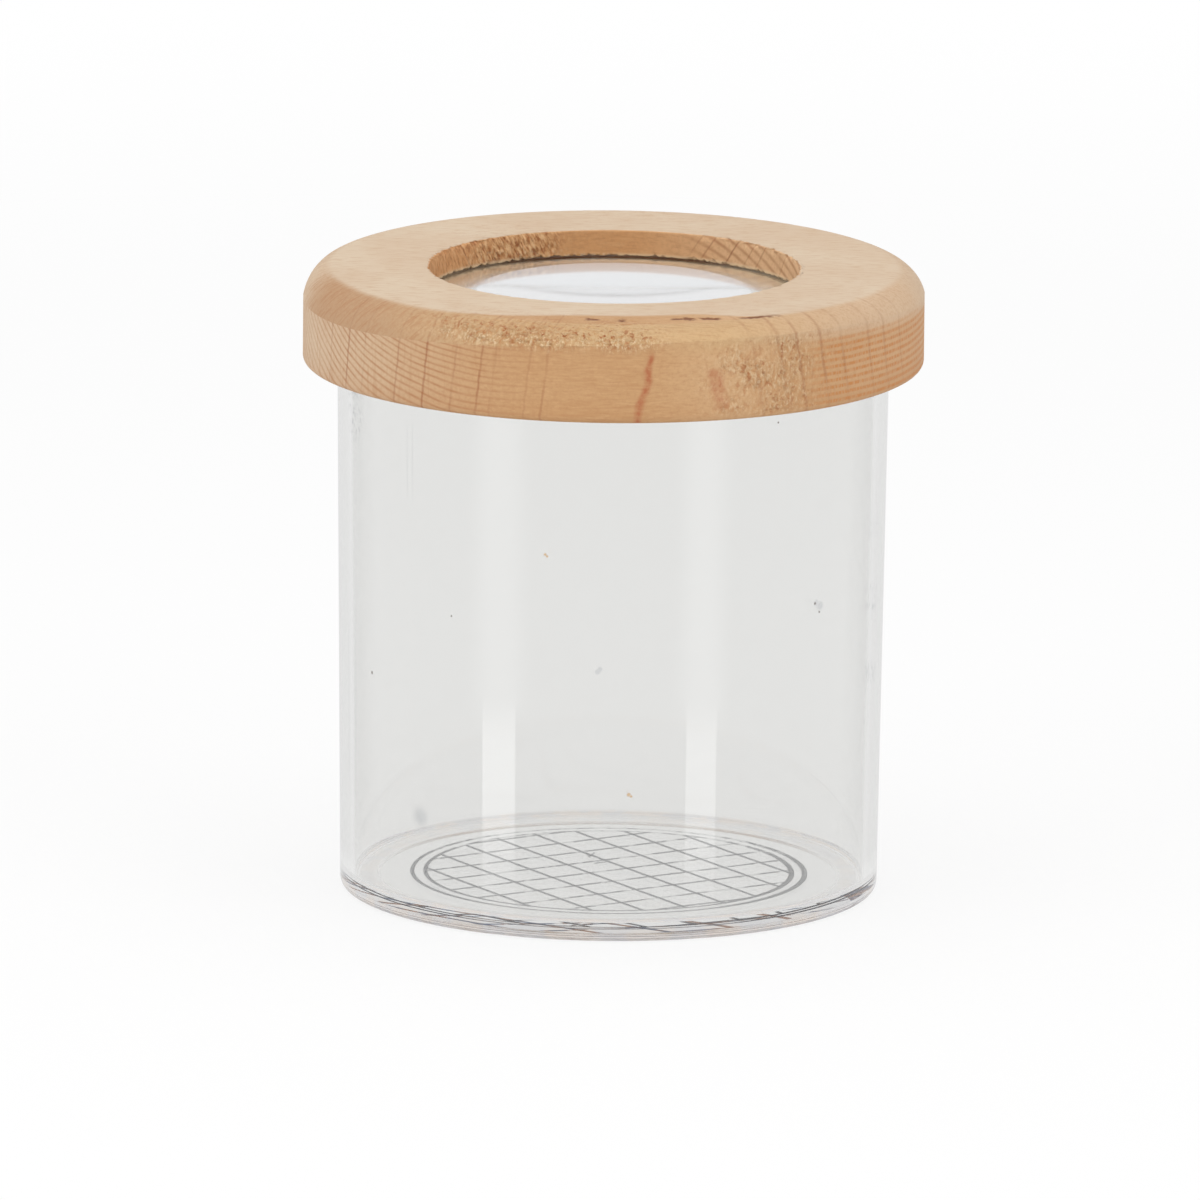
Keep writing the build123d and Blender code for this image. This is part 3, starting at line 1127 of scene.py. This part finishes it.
# In the bore the cutter left slanting ridges on the left, with painted highlight on their tops and painted
# shade in their grooves, and a frayed lower edge
bore_arc = half_turn * math.radians(window_radius)
ridges = noise(combine((bore_arc - up * 0.55) * 2.6, (up + bore_arc * 0.55) * 0.7), 1.0, 3.0, 0.6)
ridged = step(half_turn, 14.0, 24.0) * step(half_turn, 46.0, 60.0, 1.0, 0.45) * fade(along, -1.0, 1.0)
ridged = ridged * in_bore * not_top
frayed = largest(step(fuzz, 0.42, 0.6), largest(fade(along, -13.0, -7.0), step(along, -2.0, 2.0)))
frayed = frayed * in_bore * not_top * fade(up, lip_bottom, lip_bottom + 0.45)
wood = painted(
    wood,
    (torn_here * paler, fibre_colour),
    # painted shade between the raised fibres and in the pits
    (torn_here * step(fuzz, 0.38, 0.48, 0.5, 0.0), fibre_shadow),
    (torn_here * pitted, pit_shade),
    (ridged * step(ridges, 0.5, 0.62, 0.0, 0.85), ridge_highlight),
    (ridged * step(ridges, 0.37, 0.48, 0.75, 0.0), groove_shade),
    (frayed * 0.75, fibre_colour))
print("torn fibres, pits and ridges")

# %% Surface of the wood
bump_depth = 0.1 * mm
relief = grainy * 0.25 + torn_here * fuzz * 4.5 + ridged * ridges * 3.0 - (rays * 0.3 + opened)
bump = add(tree, "ShaderNodeBump", {"Strength": 0.6, "Distance": bump_depth, "Height": relief})
rough = step(grainy, 0.3, 0.7, 0.55, 0.7)
fill(shader, {"Base Color": wood, "Roughness": rough, "Specular IOR Level": 0.3, "Normal": bump})
print("beech finish:", len(tree.nodes), "nodes")

# %% [markdown]
# ## The lid
# A turned ring with a viewing hole, a seat for the lens and a socket for the jar's rim. Its top edge was
# rounded over and sanded by hand, so the crease below the rounding wanders: it sits low where the side cuts
# end grain and high where it runs along the grain. Where the cutter met rising grain it tore the fibres out.
# A second tree does both after the turning: it moves the crease and presses pits into the torn patches.

# %% Sanding tree
sanding, given, sanding_in = new_group("sanded_and_torn", "GeometryNodeTree", {
    "Turned": "Geometry", "Grain Turn": "Float", "Lid Top": "Float", "Lid Height": "Float",
    "Edge Drop": "Float", "Edge Inside": "Float", "Tear Depth": "Float", "Finish": "Material"},
    ("Sanded", "Geometry"))


def in_grain(vector):
    """A vector turned into the block."""
    return add(sanding, "ShaderNodeVectorRotate", {
        "Vector": vector, "Angle": -given["Grain Turn"]}, rotation_type="Z_AXIS")


here = add(sanding, "GeometryNodeInputPosition")
facing = add(sanding, "GeometryNodeInputNormal")
in_block = in_grain(here)
along, across, up = split(in_block)
radius = calc("SQRT", along ** 2 + across ** 2)
turn = calc("ARCTAN2", along, -across)
degrees = turn * (180 / math.pi)
below_top = given["Lid Top"] - up
print("sanding inputs:", ", ".join(given))

# %% The wandering crease
crease_drop = 2.57 * mm
crease_swing = 0.62 * mm
crease_twist = 0.45 * mm
crease_lean = 0.465 * mm
sharp_to = 4 * mm

# The crease has a mean drop, swings twice a turn with the grain, and leans to one side
swing = calc("COSINE", turn * 2) * crease_swing + calc("SINE", turn * 2) * crease_twist
drop = crease_drop - (swing + calc("SINE", turn) * crease_lean)
over_edge = straight(below_top, 0.0, given["Edge Drop"], 0.0, drop)
down_side = straight(below_top, given["Edge Drop"], given["Lid Height"], 0.0, given["Lid Height"] - drop)
lowered = below_top - (over_edge + down_side)
outside = radius > given["Edge Inside"]

# It is sharp on the left and worn away on the right
drops_down = below_top / given["Edge Drop"]
lid_mesh = store(given["Turned"], "rounded_edge", outside * straight(drops_down, 1.0, 2.0, 1.0, 0.0))
at_crease = calc("COMPARE", drops_down, 1.0, 0.005)
lid_mesh = sharpened(lid_mesh, outside * at_crease * (along < sharp_to))
print("crease", crease_drop / mm, "mm below the top")

# %% The sanded top
flat_to = 32.7 * mm
front_flat_to = 28.3 * mm
front_dip = 0.32 * mm
dip_from = 27.9 * mm
dip_to = 33.5 * mm
face_from = 27.5 * mm
face_depth = 0.02 * mm

# At the front the top was sanded away further in, so the flat face ends earlier there
front_share = step(degrees, -40.0, -4.0) * fade(degrees, 17.0, 35.0)
flat_end = straight(front_share, 0.0, 1.0, flat_to, front_flat_to)
dip = step(radius, dip_from, dip_to) * straight(below_top, 0.0, given["Edge Drop"], 1.0, 0.0)
lowered = lowered - front_share * front_dip * dip
on_face = (below_top < face_depth) * (radius > face_from)
still_flat = (below_top < 1.5 * mm) * fade(radius, flat_end - 0.5 * mm, flat_end + 0.6 * mm)
lid_mesh = store(lid_mesh, "flat_top", still_flat * step(split(facing)[2], 0.6, 0.9))
lid_mesh = shifted(lid_mesh, combine(z=lowered), where=largest(outside, on_face))

# How far each place faces along the grain
lid_mesh = store(lid_mesh, "end_grain", abs(split(in_grain(facing))[0]))
print("flat top ends at", front_flat_to / mm, "to", flat_to / mm, "mm from the axis")

# %% Torn patches
# A patch is from one turn to another in degrees and from one height to another, outside or in the bore
torn_outside = ((-38, 8, 69.7, 71.9), (19, 40, 61.8, 70.4))
torn_bore = ((19, 50, 69.3, 71.9),)

up_mm = up / mm
in_mm = in_millimetres(in_block)
half_turn = (degrees + 90) % 180 - 90
ragged = half_turn + (noise(in_mm, 0.5, 2.0) - 0.5) * 14.0
at_outside = radius > 28 * mm
torn_mask = 0.0
for patches, where in ((torn_outside, at_outside), (torn_bore, 1 - at_outside)):
    for first, last, low, high in patches:
        patch = window(ragged, first, last, 7.0) * window(up_mm, low, high, 0.7)
        torn_mask = largest(torn_mask, patch * where)
torn_mask = torn_mask * step(noise(in_mm, 0.3, 2.0), 0.36, 0.56, 0.4, 1.0)
fuzz = noise(vector_calc("MULTIPLY", in_mm, (1.0, 1.0, 0.8)), 1.7, 3.0, 0.65)
pits = step(fuzz, 0.46, 0.68, 0.15, -1.0)
lid_mesh = store(lid_mesh, "torn", torn_mask)
lid_mesh = shifted(lid_mesh, scaled(facing, torn_mask * pits * given["Tear Depth"]))
print("torn patches:", len(torn_outside + torn_bore), "repeated half a turn on")

# %% Ragged edges of the bore
fibre_rise = 0.3 * mm
bite = 0.014

# The lower edge is ragged, and comes close to the lens at both ends of the grain
off_middle = abs(along)
lower_edge = (radius < (window_radius + 0.55) * mm) * fade(up_mm, lip_bottom + 0.05, lip_bottom + 0.6)
fibres_up = step(noise(in_mm, 1.4, 3.0, 0.7), 0.42, 0.66, 0.0, fibre_rise)
close = step(off_middle, 7 * mm, 13 * mm, -0.05 * mm, -0.15 * mm)
lid_mesh = shifted(lid_mesh, combine(z=lower_edge * (fibres_up + close)))

# The upper edge is nibbled at both ends of the grain
upper_edge = (radius < (window_radius + 0.45) * mm) * step(up_mm, lid_top - 0.7, lid_top - 0.2)
nibbled = step(off_middle, 6 * mm, 14 * mm) * step(noise(in_mm, 1.3, 3.0, 0.7), 0.42, 0.66, 0.0, bite)
lid_mesh = shifted(lid_mesh, scaled(vector_calc("MULTIPLY", here, (1.0, 1.0, 0.0)), upper_edge * nibbled))
give_out(dressed(lid_mesh, given["Finish"]))

# %% Lid profile
edge_points = 14
worked_from = 27.0
worked_rows = 0.36
plain_rows = 8.0
bottom_edge = 0.8
mouth_chamfer = 0.5
lip_inside = window_radius + 0.8
under_side = lid_radius - 1.5

edge_radius = (edge_run**2 + edge_drop**2) / (2 * edge_drop)
edge_sweep = math.asin(edge_run / edge_radius)
over_edge = [(lid_radius - edge_run + edge_radius * math.sin(edge_sweep * share / edge_points),
              lid_top - edge_radius * (1 - math.cos(edge_sweep * share / edge_points)), 0)
             for share in range(edge_points + 1)]

# Stretches of the profile, closely set with points where the wood is worked and sparsely elsewhere
lid_stretches = (
    ([(window_radius, bore_middle, 0), (window_radius, lid_top, 0.25),
      (lip_inside, lid_top, 0)], worked_rows),
    ([(lip_inside, lid_top, 0), (worked_from, lid_top, 0)], plain_rows),
    ([(worked_from, lid_top, 0)] + over_edge
     + [(lid_radius, lid_bottom, bottom_edge), (under_side, lid_bottom, 0)], worked_rows),
    ([(under_side, lid_bottom, 0), (socket_radius + mouth_chamfer, lid_bottom, 0.1),
      (socket_radius, lid_bottom + mouth_chamfer, 0.1), (socket_radius, shoulder, 0),
      (seat_radius, shoulder, 0.1), (seat_radius, lip_bottom, 0), (lip_inside, lip_bottom, 0)], plain_rows),
    ([(lip_inside, lip_bottom, 0), (window_radius, lip_bottom, 0.15),
      (window_radius, bore_middle, 0)], worked_rows))
lid_profile = []
for corners, longest in lid_stretches:
    stretch = rounded(corners, arc_points=5, longest=longest)
    lid_profile += stretch[1:] if lid_profile else stretch
print("lid profile:", len(lid_profile), "points")

# %% Lid
tear_depth = 0.28 * mm
lid_segments = 624
lid = turned("lid_ring_wood", lid_profile, lid_segments, beech, [(sanding, sanding_in, {
    "Grain Turn": grain_turn,
    "Lid Top": lid_high.z,
    "Lid Height": lid_high.z - lid_low.z,
    "Edge Drop": edge_drop * mm,
    "Edge Inside": (lid_radius - edge_run - 0.05) * mm,
    "Tear Depth": tear_depth,
    "Finish": beech})], crease=20)
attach(lid, "lid")
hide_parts("lid_ring")
print("lid triangles:", sum(len(face.vertices) - 2 for face in lid.data.polygons))

# %% [markdown]
# ## The retaining ring
# A plain beech ring, pressed in under the flange to hold the lens in the lid. It shows from below, through
# the jar, and through the rim of the lens as a tan band. Its wood is paler than the lid's, and painted nearly
# white as painted light where the lip shades it. It is a hair smaller here than its seat, so that no two faces
# lie in one plane.

# %% Retaining ring
hair = 0.03
dome_clearance = 1.5
ring_chamfer = 0.4
ring_edge = 0.1
ring_segments = 256
ring_outer = ring_high.x / mm - hair
ring_inner = lower_dome_edge + dome_clearance + hair
ring_bottom = ring_low.z / mm + hair
ring_top = ring_high.z / mm - hair
ring_profile = rounded([
    (ring_inner, ring_top, 0),
    (ring_outer, ring_top, ring_edge),
    (ring_outer, ring_bottom, ring_edge),
    (ring_inner + ring_chamfer, ring_bottom, ring_edge),
    (ring_inner, ring_bottom + ring_chamfer, ring_edge),
    (ring_inner, ring_top, 0)])
ring = turned("retaining_ring", ring_profile, ring_segments, beech)
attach(ring, "lid")
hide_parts("lens_retaining_ring")
